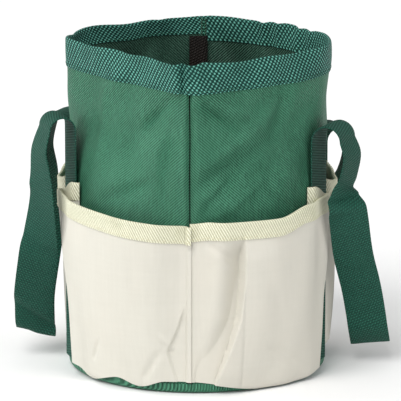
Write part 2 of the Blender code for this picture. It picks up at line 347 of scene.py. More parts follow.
def add_cloth(name, outer, inner, materials, uv, wrap=False, cap=False):
    """A closed cloth from matching grids of its two faces; a second material goes on the inner
    face.

    wrap joins the last column to the first, and cap closes the hole inside the first row.
    """
    columns, rows = outer.shape[:2]
    count = columns * rows
    # slot of the material on the inner face
    inner_face_slot = len(materials) - 1
    starts = uv_starts = np.arange(columns) * rows
    if wrap:
        starts = join([starts, starts[:1]])
        uv_starts = np.arange(columns + 1) * rows
    face, face_uv = quads(starts, rows), quads(uv_starts, rows)
    faces, loops = [face, face[:, ::-1] + count], [face_uv, face_uv[:, ::-1]]
    edges = []
    if not cap:
        edges.append((starts[:-1], starts[1:], uv_starts[:-1], uv_starts[1:]))
    top, uv_top = starts + rows - 1, uv_starts + rows - 1
    edges.append((top[1:], top[:-1], uv_top[1:], uv_top[:-1]))
    if not wrap:
        step = np.arange(rows - 1)
        last = starts[-1] + step
        edges += [(last, last + 1, last, last + 1), (step + 1, step, step + 1, step)]
    for a, b, uv_a, uv_b in edges:
        faces.append(np.stack([b, a, a + count, b + count], axis=-1))
        loops.append(np.stack([uv_b, uv_a, uv_a, uv_b], axis=-1))
    polygons = join(faces).tolist()
    loops = join(loops).ravel()
    if cap:
        ring = np.arange(columns) * rows
        polygons += [ring[::-1].tolist(), (ring + count).tolist()]
        loops = join([loops, ring[::-1], ring])
    slots = np.zeros(len(polygons), np.int32)
    slots[len(face) : 2 * len(face)] = inner_face_slot
    if cap:
        slots[-1] = inner_face_slot
    vertices = join([outer.reshape(-1, 3), inner.reshape(-1, 3)]).tolist()
    piece = new_mesh_object(name, vertices, polygons, materials)
    mesh = piece.data
    layer = mesh.uv_layers.new(name="metres")
    layer.data.foreach_set("uv", uv.reshape(-1, 2)[loops].astype(np.float32).ravel())
    mesh.polygons.foreach_set("material_index", slots)
    mesh.set_sharp_from_angle(angle=math.radians(50))
    mesh.update()
    return piece


def add_sheet(name, points, thick, materials, uv=None, wrap=False, cap=False):
    """A cloth of one thickness behind a grid of points on its outer face."""
    inner = points - grid_normals(points, wrap) * thick
    if uv is None:
        closed = join([points, points[:1]]) if wrap else points
        lengths = np.meshgrid(lengths_along(closed, 0), lengths_along(points, 1), indexing="ij")
        uv = np.stack(lengths, axis=-1)
    return add_cloth(name, points, inner, materials, uv, wrap, cap)


# --- Stitches

STITCH_LENGTH = 0.0028
STITCH_PITCH = 0.004
THREAD_RADIUS = 0.0003
THREAD_LIFT = 0.0001
SPINDLE_RINGS = 5
SPINDLE_SIDES = 6


def resampled(line, pitch):
    """Points at even steps along a line, and the directions there."""
    travelled = distance_along(line)
    count = max(1, int(travelled[-1] / pitch))
    at = (np.arange(count) + 0.5) * travelled[-1] / count
    middle, ahead, behind = (interp3(at + step, travelled, line) for step in (0, 1e-4, -1e-4))
    return middle, unit(ahead - behind)


def spindle():
    """Points and faces of a thread along x, one unit from its middle to its ends and sides."""
    rings, sides = SPINDLE_RINGS, SPINDLE_SIDES
    t = math.pi * (np.arange(rings)[:, None] + 0.5) / rings
    turn = 2 * math.pi * np.arange(sides) / sides
    width = np.sin(t)
    points = np.broadcast_arrays(-np.cos(t), width * np.cos(turn), width * np.sin(turn))
    last = (rings - 1) * sides
    here, side = np.arange(0, last, sides)[:, None], np.arange(sides)
    there, after = here + sides, (side + 1) % sides
    faces = np.stack([here + side, here + after, there + after, there + side], axis=-1)
    ends = [list(range(sides - 1, -1, -1)), list(range(last, last + sides))]
    return np.stack(points, axis=-1).reshape(-1, 3), faces.reshape(-1, 4).tolist() + ends


def add_stitches(name, lines, material):
    """Rows of short threads, each sunk into the cloth at its ends; lines holds (line, normals)."""
    template, template_faces = spindle()
    vertices, faces = [], []
    for line, normals in lines:
        middle, along = resampled(line, STITCH_PITCH)
        at, given = np.linspace(0, 1, len(middle)), np.linspace(0, 1, len(normals))
        aside = unit(np.cross(along, interp3(at, given, normals)))
        out = np.cross(aside, along)
        for place, a, s, o in zip(middle, along, aside, out):
            base = len(vertices) * len(template)
            axes = np.array([a * STITCH_LENGTH / 2, s * THREAD_RADIUS, o * THREAD_RADIUS])
            vertices.append(template @ axes + place)
            faces += [[base + i for i in face] for face in template_faces]
    piece = new_mesh_object(name, join(vertices).tolist(), faces, [material])
    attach(piece, "root")
    return piece


# --- Materials


class Graph:
    """A material's node tree, with short calls for the nodes that the cloths share."""

    def __init__(self, name):
        self.material = bpy.data.materials.new(name)
        self.material.use_nodes = True
        tree = self.material.node_tree
        self.nodes, self.links = tree.nodes, tree.links
        self.shader = self.nodes["Principled BSDF"]
        place = self.add("ShaderNodeUVMap", {}, uv_map="metres")
        split = self.add("ShaderNodeSeparateXYZ", {0: place.outputs[0]})
        self.u, self.v = split.outputs[0], split.outputs[1]
        self.place = self.nodes.new("ShaderNodeTexCoord").outputs["Object"]

    def feed(self, socket, value):
        if isinstance(value, bpy.types.NodeSocket):
            self.links.new(value, socket)
        else:
            socket.default_value = value

    def add(self, kind, inputs, **settings):
        node = self.nodes.new(kind)
        for key, value in settings.items():
            setattr(node, key, value)
        for key, value in inputs.items():
            self.feed(node.inputs[key], value)
        return node

    def math(self, operation, a, b=0):
        return self.add("ShaderNodeMath", {0: a, 1: b}, operation=operation).outputs[0]

    def plus(self, a, b):
        return self.math("ADD", a, b)

    def times(self, a, b):
        return self.math("MULTIPLY", a, b)

    def wave(self, value, pitch):
        """A cosine of a length, one turn for each pitch."""
        return self.math("COSINE", self.times(value, 2 * math.pi / pitch))

    def mix(self, share, first, second):
        inputs = {0: share, 6: first, 7: second}
        return self.add("ShaderNodeMix", inputs, data_type="RGBA").outputs[2]

    def spread(self, value, low, high, to_low=0, to_high=1):
        inputs = {0: value, 1: low, 2: high, 3: to_low, 4: to_high}
        return self.add("ShaderNodeMapRange", inputs).outputs[0]

    def noise(self, scale, detail=2, stretch=None):
        place = self.place
        if stretch is not None:
            place = self.add("ShaderNodeMapping", {0: place, 3: stretch}).outputs[0]
        inputs = {"Vector": place, "Scale": scale, "Detail": detail}
        return self.add("ShaderNodeTexNoise", inputs).outputs[0]

    def finish(self, colour, roughness, heights, specular=0.3):
        """heights is a list of (height, distance in metres), each one bump on the last."""
        self.feed(self.shader.inputs["Base Color"], colour)
        self.feed(self.shader.inputs["Roughness"], roughness)
        self.shader.inputs["Specular IOR Level"].default_value = specular
        normal = None
        for height, distance in heights:
            inputs = {"Height": height, "Distance": distance, "Strength": 1}
            if normal is not None:
                inputs["Normal"] = normal
            normal = self.add("ShaderNodeBump", inputs).outputs[0]
        self.links.new(normal, self.shader.inputs["Normal"])
        return self.material


def colour(red, green, blue):
    """A linear colour from the red, green and blue of a screen, 0 to 255."""
    values = []
    for channel in (red, green, blue):
        c = channel / 255
        values.append(c / 12.92 if c <= 0.04045 else ((c + 0.055) / 1.055) ** 2.4)
    return (*values, 1)


def oxford_cloth(name, dark, middle, light, wear=0.5):
    """Coated polyester: a diagonal rib over a fine plain weave, with slubs and rubbed marks."""
    g = Graph(name)
    slant = g.plus(g.times(g.u, 0.7), g.times(g.v, 0.78))
    rib = g.wave(slant, 0.0017)
    threads = g.times(g.wave(g.u, 0.0009), g.wave(g.v, 0.0009))
    slub = g.noise(900, 2, (1, 1, 0.12))
    patch = g.noise(38, 4)
    broad = g.noise(11, 2)
    weave = g.plus(g.times(rib, 0.8), g.times(threads, 0.25))
    shade = g.spread(weave, -0.9, 0.9, 0, 1)
    shade = g.plus(shade, g.times(g.math("SUBTRACT", slub, 0.5), 0.9))
    base = g.mix(shade, dark, light)
    base = g.mix(g.spread(patch, 0.38, 0.74, 0, wear), base, middle)
    base = g.mix(g.spread(broad, 0.4, 0.66, 0, 0.2), base, light)
    rough = g.spread(g.plus(weave, patch), -0.4, 1.4, 0.62, 0.44)
    heights = [(broad, 0.0012), (patch, 0.001), (weave, 0.00046), (slub, 0.00012)]
    return g.finish(base, rough, heights, specular=0.34)


def dotted_webbing(name, dark, light):
    """Rim webbing: raised bright threads in staggered rows over a dark ground."""
    g = Graph(name)
    lean = g.plus(g.u, g.times(g.v, 0.35))
    dots = g.times(g.wave(lean, 0.0036), g.wave(g.v, 0.0036))
    fine = g.wave(g.plus(g.u, g.v), 0.0006)
    slub = g.noise(700, 2)
    patch = g.noise(45, 3)
    uneven = g.times(g.math("SUBTRACT", slub, 0.5), 0.6)
    lit = g.spread(g.plus(dots, uneven), -0.05, 0.75)
    base = g.mix(lit, dark, light)
    base = g.mix(g.spread(patch, 0.42, 0.76, 0, 0.4), base, dark)
    rough = g.spread(lit, 0, 1, 0.75, 0.45)
    height = g.plus(dots, g.times(fine, 0.15))
    return g.finish(base, rough, [(height, 0.0006), (slub, 0.00012)], specular=0.22)


def ribbed_webbing(name, dark, light, worn):
    """Strap webbing: cords across the strap, each broken into short bright floats."""
    g = Graph(name)
    slant = g.plus(g.u, g.times(g.v, 0.22))
    rib = g.wave(slant, 0.002)
    floats = g.wave(g.plus(g.v, g.times(g.u, 0.5)), 0.0021)
    slub = g.noise(800, 2)
    patch = g.noise(40, 3)
    broken = g.times(g.plus(rib, 1), floats)
    weave = g.plus(g.times(rib, 0.55), g.times(broken, 0.45))
    lit = g.spread(g.plus(weave, g.times(slub, 0.9)), -0.6, 2)
    base = g.mix(lit, dark, light)
    base = g.mix(g.spread(patch, 0.5, 0.74, 0, 0.35), base, worn)
    rough = g.spread(lit, 0, 1, 0.82, 0.5)
    return g.finish(base, rough, [(weave, 0.00042), (slub, 0.00014)], specular=0.25)


def plain_cloth(name, shadow, light, stain):
    """Cream polyester canvas: fine plain weave, uneven threads, faint handling marks."""
    g = Graph(name)
    threads = g.times(g.wave(g.u, 0.001), g.wave(g.v, 0.001))
    warp = g.noise(420, 3, (1, 1, 0.06))
    weft = g.noise(420, 3, (0.06, 0.06, 1))
    slub = g.plus(g.times(warp, 0.6), g.times(weft, 0.4))
    patch = g.noise(30, 4)
    blotch = g.noise(9, 2)
    tone = g.plus(g.times(threads, 0.1), g.spread(slub, 0.25, 0.75, 0.38, 0.62))
    base = g.mix(tone, shadow, light)
    base = g.mix(g.spread(patch, 0.48, 0.8, 0, 0.55), base, stain)
    base = g.mix(g.spread(blotch, 0.42, 0.62, 0, 0.35), base, stain)
    rough = g.spread(slub, 0.3, 0.7, 0.62, 0.78)
    return g.finish(base, rough, [(patch, 0.001), (threads, 0.0001), (slub, 0.00008)])


def ribbed_binding(name, groove, ridge):
    """Grosgrain binding: slanting cords, proud and rounded."""
    g = Graph(name)
    slant = g.plus(g.u, g.times(g.v, 0.55))
    rib = g.wave(slant, 0.002)
    slub = g.noise(650, 2)
    patch = g.noise(55, 3)
    lit = g.spread(g.plus(rib, g.times(slub, 0.8)), -0.7, 1.2)
    base = g.mix(lit, groove, ridge)
    base = g.mix(g.spread(patch, 0.5, 0.75, 0, 0.35), base, groove)
    rough = g.spread(lit, 0, 1, 0.8, 0.62)
    return g.finish(base, rough, [(rib, 0.00036), (slub, 0.00012)])


def twisted_thread(name, dark, light):
    g = Graph(name)
    ply = g.noise(2600, 1)
    base = g.mix(g.spread(ply, 0.4, 0.6), dark, light)
    return g.finish(base, g.spread(ply, 0.3, 0.7, 0.45, 0.65), [(ply, 0.00008)])


def fibre_board(name, dark, light):
    """Pressed grey board with a leathery skin and rubbed patches."""
    g = Graph(name)
    fibre = g.noise(700, 4)
    patch = g.noise(40, 3)
    base = g.mix(g.spread(fibre, 0.35, 0.65), dark, light)
    base = g.mix(g.spread(patch, 0.5, 0.75, 0, 0.5), base, light)
    return g.finish(base, g.spread(fibre, 0.3, 0.7, 0.55, 0.8), [(fibre, 0.0002), (patch, 0.0004)])


def made(kind, name, *shades, **settings):
    """A material of one kind in its own shades."""
    return kind(name, *(colour(*shade) for shade in shades), **settings)


GREEN = made(oxford_cloth, "green_oxford", (0, 54, 36), (32, 94, 68), (84, 154, 122))
# A darker copy of the green cloth for the inner faces of the wall and base: painted shade inside
# the bag.
SHADED_GREEN = made(oxford_cloth, "green_painted_shade", (8, 34, 25), (32, 68, 53), (66, 108, 90), wear=0.3)
RIM = made(dotted_webbing, "rim_webbing", (0, 54, 46), (118, 196, 178))
STRAP = made(ribbed_webbing, "strap_webbing", (0, 32, 25), (40, 110, 90), (28, 82, 66))
CREAM = made(plain_cloth, "cream_cloth", (196, 193, 181), (222, 219, 209), (213, 208, 196))
BINDING = made(ribbed_binding, "cream_binding", (194, 192, 160), (246, 245, 222))
TAPE = made(ribbed_webbing, "dark_tape", (6, 6, 5), (38, 30, 26), (44, 36, 30))
BOARD = made(fibre_board, "grey_board", (84, 84, 80), (138, 138, 132))
GREEN_THREAD = made(twisted_thread, "green_thread", (16, 62, 46), (60, 120, 96))
CREAM_THREAD = made(twisted_thread, "cream_thread", (196, 190, 160), (236, 232, 206))


# --- The bag


def stand_in(piece, node):
    """A piece that stays on the bag, in place of one CAD node."""
    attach(piece, "root")
    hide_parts(node)


def declare(piece, node):
    """A cloth that stays on the bag, in place of one CAD node."""
    stand_in(piece, node)


def panel_angles(start):
    """Columns of a half wall, closer together at its seam edges."""
    fine = np.array([0.25, 0.7, 1.3, 2, 2.8, 3.6, 4.5, 5.6])
    plain = np.arange(7, 173.01, 1.2)
    return start + join([fine, plain, 180 - fine[::-1]])


def add_shell():
    """Two half walls that meet at the front and back seams, with their edges turned in."""
    foot = np.linspace(0.0035, 0.012, 5)
    heights = join([foot, np.linspace(0.015, BAG_HEIGHT - 0.0018, 96)])
    for node, start in (("shell_left_panel", -180), ("shell_right_panel", 0)):
        angle, height = np.meshgrid(panel_angles(start), heights, indexing="ij")
        from_edge = np.minimum(angle - start, start + 180 - angle)
        turned_in = 0.002 * (1 - ramp(from_edge, 0.2, 1.6))
        points = polar(angle, wall_radius(angle, height) - turned_in, height)
        # the weave leans the other way on the left half
        mirror = -1 if start < 0 else 1
        uv = np.stack([mirror * np.radians(angle) * WALL_RADIUS, height], axis=-1)
        # The inner face takes the darker copy of the green cloth: painted shade inside the bag.
        panel = add_sheet(node + "_cloth", points, WALL_THICK, [GREEN, SHADED_GREEN], uv=uv)
        declare(panel, node)


def rim_radius(angle, height):
    """The wall under the webbing, with the step where its ends overlap."""
    near = wrapped(angle)
    step = 0.0024 * ramp(near, -13, -5) * (1 - ramp(near, -4.2, -3))
    return wall_radius(angle, height) + step


def add_rim():
    """Webbing folded over the mouth's edge, stitched along its lower edge inside and out."""
    plain = np.arange(0, 360, 1)
    fine = np.arange(-10, 15, 0.4) % 360
    angles = np.unique(join([plain[(plain > 15.2) & (plain < 349.8)], fine]))
    near = wrapped(angles)
    wave = 0.0006 * np.sin(np.radians(near * 11)) + 0.0009 * bump(near, -4, 1.6)
    for middle, depth, width in RIM_PINCHES[1:]:
        wave = wave - 0.7 * depth * bump(wrapped(near - middle), 0, 1.4 * width)
    wave = wave - 0.001 * bump(near, 1.2, 2) + 0.001 * bump(near, 6, 2.2)
    outer_levels = np.linspace(-RIM_DROP + RIM_CROWN, 0, 11)
    inner_levels = np.linspace(0, -RIM_INNER_DROP + RIM_CROWN, 9)
    turn = np.linspace(0, math.pi, 9)[1:-1]
    half = WALL_THICK / 2 + RIM_THICK
    offsets = join([np.full(11, half), half * np.cos(turn), np.full(9, -half)])
    lifts = join([outer_levels, 1.4 * half * np.sin(turn), inner_levels])
    reach = 0.72 + 0.24 * ramp(near, -30, 20) - 0.1 * bump(near, -150, 50)
    stretch = np.ones((len(angles), len(lifts)))
    stretch[:, -len(inner_levels) :] = reach[:, None]
    lifts = lifts * stretch
    waved = wave[:, None] * np.clip(1 + lifts / 0.018, 0.2, 1)
    height = BAG_HEIGHT - RIM_CROWN + lifts + waved
    angle = np.broadcast_to(angles[:, None], height.shape)
    radius = rim_radius(angle, np.minimum(height, BAG_HEIGHT)) - WALL_THICK / 2 + offsets
    points = polar(angle, radius, height)
    rim = add_sheet("rim_webbing_fold", points, RIM_THICK, [RIM], wrap=True)
    normals = grid_normals(points, True)
    lines = []
    for row in (1, len(offsets) - 2):
        line, normal = (join([grid[:, row], grid[:1, row]]) for grid in (points, normals))
        lines.append((line + normal * THREAD_LIFT, normal))
    stitches = add_stitches("rim_stitches", lines, GREEN_THREAD)
    declare(rim, "rim_webbing")


def add_tapes():
    """The tapes over the seam allowances inside the wall."""
    heights = np.linspace(0.013, BAG_HEIGHT - 0.015, 60)
    for node, low, high in (("front_seam_tape", -4.5, 4.5), ("back_seam_tape", 178.5, 186.5)):
        angle, height = np.meshgrid(np.linspace(low, high, 9), heights, indexing="ij")
        across = (angle - low) / (high - low) * 2 - 1
        swell = 0.0018 * (1 - across**4)
        under_rim = 0.001 * ramp(height, BAG_HEIGHT - 0.024, BAG_HEIGHT - 0.018)
        radius = wall_radius(angle, height) - WALL_THICK - TAPE_GAP - swell - under_rim
        tape = add_sheet(node + "_webbing", polar(angle, radius, height), TAPE_THICK, [TAPE])
        declare(tape, node)


def add_disc(name, points, thick, materials):
    """A round sheet from a grid whose rows run out from its middle."""
    uv = join([points, points[:1]])[..., :2]
    return add_sheet(name, points, thick, materials, uv=uv, wrap=True, cap=True)


def add_base():
    """The round bottom with its turned-up edge, the board inside and the tape over its seam."""
    angles = np.arange(0, 360, 3)
    bend = np.linspace(0, math.pi / 2, 6)[1:]
    radii = np.linspace(0.0015, WALL_RADIUS - 0.006, 24)
    turned_radii = WALL_RADIUS - BASE_BEND + BASE_BEND * np.sin(bend)
    radius = join([radii, turned_radii, [WALL_RADIUS + 0.0002] * 2])
    height = join([np.zeros(24), 0.0035 * (1 - np.cos(bend)), [0.0055, 0.0075]])
    a, r = np.meshgrid(angles, radius, indexing="ij")
    pucker = 0.0006 * (1 - np.cos(np.radians(a * 9))) * ramp(r, 0.03, 0.085)
    pucker = pucker * (1 - ramp(r, 0.088, 0.094))
    points = polar(a, r, height + pucker)
    # The inner face of the base takes the darker copy of the green cloth: painted shade inside the
    # bag.
    base = add_disc("base_fabric_disc", points, WALL_THICK, [GREEN, SHADED_GREEN])
    stand_in(base, "base_fabric")

    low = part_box("base_board")[0].z
    board_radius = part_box("base_board")[1].x
    radius = join([np.linspace(0.0015, board_radius - 0.001, 20), [board_radius] * 2])
    height = join([np.full(20, 0.0021), [0.0016, 0.0003]])
    a, r = np.meshgrid(angles, radius, indexing="ij")
    wavy = 0.0002 * np.sin(np.radians(a * 3)) * r / board_radius
    points = polar(a, r, low + height + wavy)[::-1]
    board = add_disc("base_board_disc", points, 0.0016, [BOARD])
    stand_in(board, "base_board")

    levels = np.linspace(BASE_BEND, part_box("base_seam_tape")[1].z, 7)
    a, h = np.meshgrid(np.arange(0, 360, 2), levels, indexing="ij")
    swell = 0.0006 * np.sin((h - BASE_BEND) / 0.008 * math.pi)
    ripple = 0.0003 * np.sin(np.radians(a * 20))
    points = polar(a, WALL_RADIUS - WALL_THICK - TAPE_GAP - swell + ripple, h)
    tape = add_sheet("base_seam_tape_ring", points, TAPE_THICK, [TAPE], wrap=True)
    declare(tape, "base_seam_tape")


# --- Pockets

# (height, angle) down the fold, how far the pressed side goes in, how far the fold stands out,
# and whether the pressed side is deepest at the fold or at the seam
POCKET_FOLDS = {
    "front_right": (
        ((0.125, 22), (0.087, 21.5), (0.058, 20), (0.037, 16.5), (0.008, 10.2)),
        0.0095, 0.0028, "fold",
    ),
    "front_left": (
        ((0.075, 0.5), (0.051, 4.6), (0.033, 9), (0.026, 8), (0.01, 5)),
        0.005, 0.0008, "seam",
    ),
    "rear_right": (((0.11, 14), (0.06, 18), (0.01, 12)), 0.005, 0.001, "fold"),
    "rear_left": (((0.095, 30), (0.06, 26), (0.01, 20)), 0.0055, 0.0012, "fold"),
}
FLUTE_PHASES = {"front_right": 0.4, "front_left": 1.9, "rear_right": 3.1, "rear_left": 4.4}
# start, end, half width, depth; places are (angle from the pocket's own seam, height)
POCKET_CREASES = {
    "front_right": (
        ((7, 0.117), (18, 0.103), 0.0026, -0.0016),
        ((10, 0.11), (20, 0.092), 0.0026, 0.0012),
        ((34, 0.034), (50, 0.016), 0.004, -0.0012),
        ((30, 0.1), (40, 0.05), 0.007, -0.0009),
    ),
    "front_left": (
        ((41, 0.036), (46, 0.018), 0.0018, -0.0014),
        ((12, 0.034), (20, 0.01), 0.0028, -0.0014),
        ((3, 0.028), (13, 0.046), 0.0018, 0.0012),
        ((24, 0.105), (18, 0.06), 0.006, -0.0008),
    ),
    "rear_right": (((36, 0.09), (28, 0.04), 0.005, -0.0012),),
    "rear_left": (((12, 0.1), (16, 0.05), 0.005, -0.0012),),
}


def pocket_top(key, angle):
    """Height of the pocket's bound edge; angle is from its own seam."""
    if key == "front_right":
        rise = 0.0022 * ramp(angle, 1, 9) + 0.0058 * ramp(angle, 36, 52)
        return 0.1292 + rise
    if key == "front_left":
        return 0.1272 + 0.0106 * np.clip(angle / 64, 0, 1.08)
    phase = 1 if key == "rear_left" else 2.3
    return 0.1285 + 0.007 * (angle / 76) ** 2 + 0.0006 * np.sin(np.radians(angle * 6) + phase)


def hem_height(signed_angle):
    """Height of the pocket's lower edge round the bag."""
    low = HEM_HEIGHT
    for middle, half_width, depth in HEM_DIPS:
        across = np.clip(np.abs(signed_angle - middle) / half_width, 0, 1)
        low = low - depth * np.cos(across * math.pi / 2) ** 2
    return np.maximum(low, LOWEST_HEM)


def outer_angle(key, height):
    """Where the pocket's free edge lies; it draws in below the mouth."""
    if key.endswith("left"):
        levels = (0, 0.045, 0.056, 0.068, 0.091, 0.128)
        angles = (61.9, 61.9, 62.2, 63.2, 66.8, 74.2)
    else:
        levels = (0, 0.034, 0.06, 0.07, 0.085, 0.128)
        angles = (66.5, 68, 68.6, 69.6, 72.4, 74.2)
    return np.interp(height, levels, angles)


def pocket_relief(key, angle, height):
    """The folds of the front face: pressed to the wall on the seam's side of the fold."""
    path, depth, lip, deepest = POCKET_FOLDS[key]
    levels, angles = zip(*sorted(path))
    at = np.interp(height, levels, angles)
    low, high = levels[0], levels[-1]
    window = ramp(height, low - 0.01, low + 0.01)
    window = window * (1 - ramp(height, high - 0.024, high))
    inside = 1 - ramp(angle, at - 0.35, at + 0.75)
    if deepest == "fold":
        slope = ramp(angle, at - 13, at - 0.2) ** 1.3
    else:
        slope = 0.35 + 0.65 * (1 - ramp(angle, 0.8, np.maximum(at, 1.5)))
    shoulder = ramp(angle, at - 0.2, at + 1)
    shoulder = shoulder * (1 - ramp(angle, at + 4, at + 26))
    phase = FLUTE_PHASES[key]
    flutes = 0.0006 * np.sin(np.radians(angle * 9) + phase + 14 * height)
    flutes = flutes + 0.0003 * np.sin(np.radians(angle * 17) + 2 * phase - 30 * height)
    flutes = flutes * ramp(angle, 3, 9) * (1 - ramp(angle, 66, 72))
    fold = (lip * shoulder - depth * inside * slope) * window
    small = creased(POCKET_CREASES[key], angle, height)
    return (fold + small + flutes) * ramp(angle, 0.9, 3.2)


def pocket_face(key, angle, height, top):
    """Radius of the pocket's outer face; top is the height of its bound edge."""
    left = key.endswith("left")
    near_strap = ramp(angle, 49, 60)
    share = np.clip(height / 0.1275, 0, 1.15)
    at_corner = 0.004 if left else 0.0016
    mouth = 0.0016 + (MOUTH_SLACK - 0.0016) * ramp(angle, 1, 15)
    mouth = mouth + (at_corner - MOUTH_SLACK) * ramp(angle, 49, 66)
    mouth_lift = mouth * (0.18 + 0.82 * share**1.25) * ramp(angle, 0.5, 6)
    seam_lift = 0.0016 * (1 - ramp(angle, 0.5, 6))
    belly = 0.0036 * np.sin(np.clip(share, 0, 1) * math.pi) * ramp(angle, 4, 18)
    belly = belly * (1 - 0.7 * near_strap)
    cover = (STRAP_FACE - WALL_RADIUS) * near_strap
    clear = WALL_RADIUS + 0.0004 + POCKET_THICK + cover - foot_rounding(height)
    slack = mouth_lift + seam_lift + belly + pocket_relief(key, angle, height)
    lap = 0
    if left:
        lap = 0.0011 + 0.0019 * ramp(height, top - 0.0165, top - 0.013)
        lap = lap * (1 - ramp(angle, 0.25, 1.9))
    return np.maximum(clear, clear + slack) + lap


def pocket_sign(key):
    """Whether a pocket runs from its own seam towards the front's right (1) or left (-1)."""
    sign = 1 if key.endswith("right") else -1
    return -sign if key.startswith("rear") else sign


def pocket_grid(key):
    """The front face, the turn at the free edge and the short return to the wall by the strap."""
    seam = POCKET_LAP_ANGLE if key.endswith("left") else POCKET_SEAM_ANGLE
    end = POCKET_FRONT_END
    by_fold = np.linspace(8.3, 30, 88)
    front = join([np.linspace(seam, 8, 34), by_fold, np.linspace(30.8, end, 56)])
    levels = join([[0, 0.008, 0.02, 0.04], np.linspace(0.06, 1, 84)])
    s, v = np.meshgrid((front - seam) / (end - seam), levels, indexing="ij")
    low = hem_height(pocket_sign(key) * (seam + s * 66))
    top = pocket_top(key, seam + s * 75)
    height = low + (top - low) * v
    draw_in = (outer_angle(key, height) - end) * ramp(s, 0.55, 1)
    angle = seam + s * (end - seam) + draw_in
    radius = pocket_face(key, angle, height, top)

    edge_angle, edge_radius, edge_height = angle[-1], radius[-1], height[-1:]
    back_radius = np.minimum(STRAP_FACE + 0.0002, edge_radius - 0.0012)
    back_radius = np.maximum(back_radius, STRAP_FACE - 0.0006)
    turns = np.linspace(0, math.pi, 7)[1:-1, None]
    turn_radius = (edge_radius + back_radius + (edge_radius - back_radius) * np.cos(turns)) / 2
    turn_angle = edge_angle + 0.9 * np.sin(turns)

    returns = np.linspace(0, 1, 13)[1:, None]
    return_angle = edge_angle + (POCKET_ATTACH_ANGLE - edge_angle) * returns
    by_wall = 1 - ramp(return_angle, POCKET_ATTACH_ANGLE + 0.1, POCKET_ATTACH_ANGLE + 1.6)
    return_radius = back_radius + (WALL_RADIUS + 0.0009 - back_radius) * by_wall
    lift = 0.0095 * (edge_height / edge_height[0, -1]) ** 6
    return_height = edge_height + lift * ramp(returns, 0, 0.85)
    turn_height = np.repeat(edge_height, len(turns), axis=0)
    face, turn = (angle, radius, height), (turn_angle, turn_radius, turn_height)
    back = (return_angle, return_radius, return_height)
    return [join(parts) for parts in zip(face, turn, back)]


def fold_over_edge(points, drop):
    """The binding folded over the top row of a grid of outer-face points, as its own grid."""
    normals = grid_normals(points)
    steps = np.linalg.norm(np.diff(points, axis=1), axis=-1)[:, ::-1]
    below = join([np.zeros((len(points), 1)), np.cumsum(steps, axis=1)], axis=1)
    outer = BINDING_GAP + BINDING_THICK
    inner = -(POCKET_THICK + BINDING_GAP + BINDING_THICK)

    def at_depth(depth, offset):
        found = [
            interp3(depth, run, places) + interp3(depth, run, out) * offset
            for run, places, out in zip(below, points[:, ::-1], normals[:, ::-1])
        ]
        return np.array(found)

    rows = [at_depth(depth, outer) for depth in np.linspace(drop, 0, 8)]
    half, middle = (outer - inner) / 2, (outer + inner) / 2
    edge, out = points[:, -1], normals[:, -1]
    up = unit(edge - points[:, -2])
    for t in np.linspace(0, math.pi, 7)[1:-1]:
        rows.append(edge + out * (middle + half * math.cos(t)) + up * half * math.sin(t))
    rows += [at_depth(depth, inner) for depth in np.linspace(0, drop, 7)]
    return np.stack(rows, axis=1)


def add_bound_pocket(node, points, drop):
    """A pocket's cloth, the binding folded over its top edge and the stitches along it."""
    pocket = add_sheet(node + "_cloth", points, POCKET_THICK, [CREAM])
    folded = fold_over_edge(points, drop)
    binding = add_sheet(node + "_edge_binding", folded, BINDING_THICK, [BINDING])
    normals = grid_normals(folded)[:, 1]
    lines = [(folded[:, 1] + normals * THREAD_LIFT, normals)]
    stitches = add_stitches(node + "_stitches", lines, CREAM_THREAD)
    wide = float(lengths_along(points, 0)[-1])
    declare(pocket, node)
    declare(binding, node + "_binding")


def add_large_pocket(key):
    angle, radius, height = pocket_grid(key)
    if key.startswith("rear"):
        angle = 180 - angle
    side = 1 if key.endswith("right") else -1
    points = polar(side * angle, radius, height)
    # columns run so that the grid's normals face away from the bag
    if pocket_sign(key) < 0:
        points = points[::-1]
    add_bound_pocket(f"{key}_pocket", points, BINDING_DROP)


def add_side_pocket(side):
    """A narrow pocket between the straps, its mouth standing off the wall like a cup."""
    levels = join([[0, 0.03], np.linspace(0.06, 1, 44)])
    x, v = np.meshgrid(np.linspace(-1, 1, 25), levels, indexing="ij")
    angle = 90 + x * SIDE_POCKET_HALF_ANGLE
    top = 0.1435 + 0.006 * x**2 + 0.0035 * x
    height = SIDE_POCKET_FOOT + (top - SIDE_POCKET_FOOT) * v
    share = height / 0.148
    belly = 0.0042 if side == "right" else 0.0008
    slack = 0.006 * share**1.6 + belly * np.sin(np.clip(share, 0, 1) * math.pi)
    relief = 0.0005 * np.sin(x * 7 + height * 60) * (1 - x**4)
    radius = WALL_RADIUS + 0.0014 + slack * (1 - x**2) + relief
    if side == "right":
        points = polar(angle, radius, height)
    else:
        points = polar(-angle, radius, height)[::-1]
    drop = BINDING_DROP * SIDE_BINDING_SHARE
    add_bound_pocket(f"side_{side}_pocket", points, drop)


# --- Straps


def spline(points, steps):
    """A smooth curve through the given points, of any number of coordinates."""
    points = np.array(points, float)
    last = len(points) - 1
    found = []
    for i in range(last):
        a, b = points[max(i - 1, 0)], points[i]
        c, d = points[i + 1], points[min(i + 2, last)]
        for t in np.arange(steps) / steps:
            square, cube = 2 * a - 5 * b + 4 * c - d, 3 * b - a - 3 * c + d
            found.append(0.5 * (2 * b + (c - a) * t + square * t * t + cube * t**3))
    found.append(points[last])
    return np.array(found)


def leg_out(side, forward):
    """The way a leg faces; forward is -1 at the front and 1 at the back."""
    turn = math.radians(LEG_ANGLE)
    return np.array([side * math.sin(turn), forward * math.cos(turn), 0])


